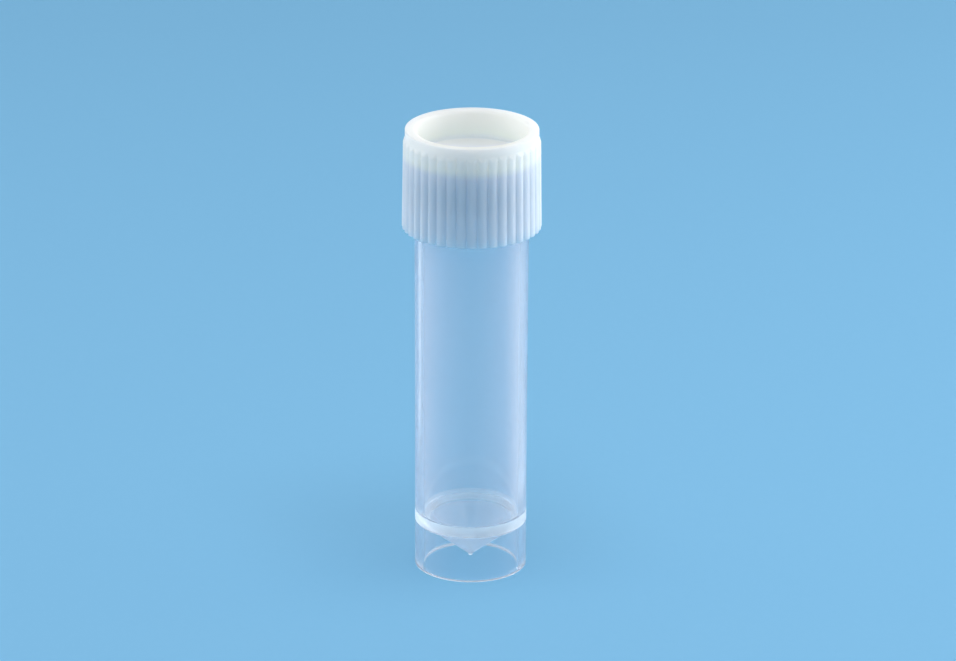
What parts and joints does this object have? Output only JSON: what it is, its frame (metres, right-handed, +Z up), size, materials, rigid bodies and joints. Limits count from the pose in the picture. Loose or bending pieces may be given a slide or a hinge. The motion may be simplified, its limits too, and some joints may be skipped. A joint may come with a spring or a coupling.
{
  "type": "cryovial",
  "caption": "Self-standing screw-cap cryovial: clear moulded vial with a conical floor over an open skirt, ribbed white cap with a top recess, and a washer seal.",
  "frame": {"origin": "centre of the base ring that the vial stands on", "axes": "+Z up the vial's axis, +X through the lower end of the vial's thread"},
  "size_m": [0.017, 0.017, 0.057],
  "materials": {
    "clear_polypropylene": "gloss",
    "white_polyethylene": "satin",
    "silicone": "satin"
  },
  "bodies": {
    "vial": {"vial_body": "clear_polypropylene"},
    "seal": {"seal_washer": "silicone"},
    "cap": {"screw_cap": "white_polyethylene"}
  },
  "joints": [
    {"name": "cap_rise", "type": "slide", "parent": "vial", "child": "seal", "axis": [0, 0, 1], "range_m": [0, 0.01]},
    {"name": "cap_turn", "type": "hinge", "parent": "seal", "child": "cap", "pos_m": [0, 0, 0.0447], "axis": [0, 0, 1], "range_deg": [0, 1440]}
  ],
  "couplings": [
    {"joint": "cap_turn", "follows": "cap_rise", "rad_per_m": 2513.3}
  ]
}
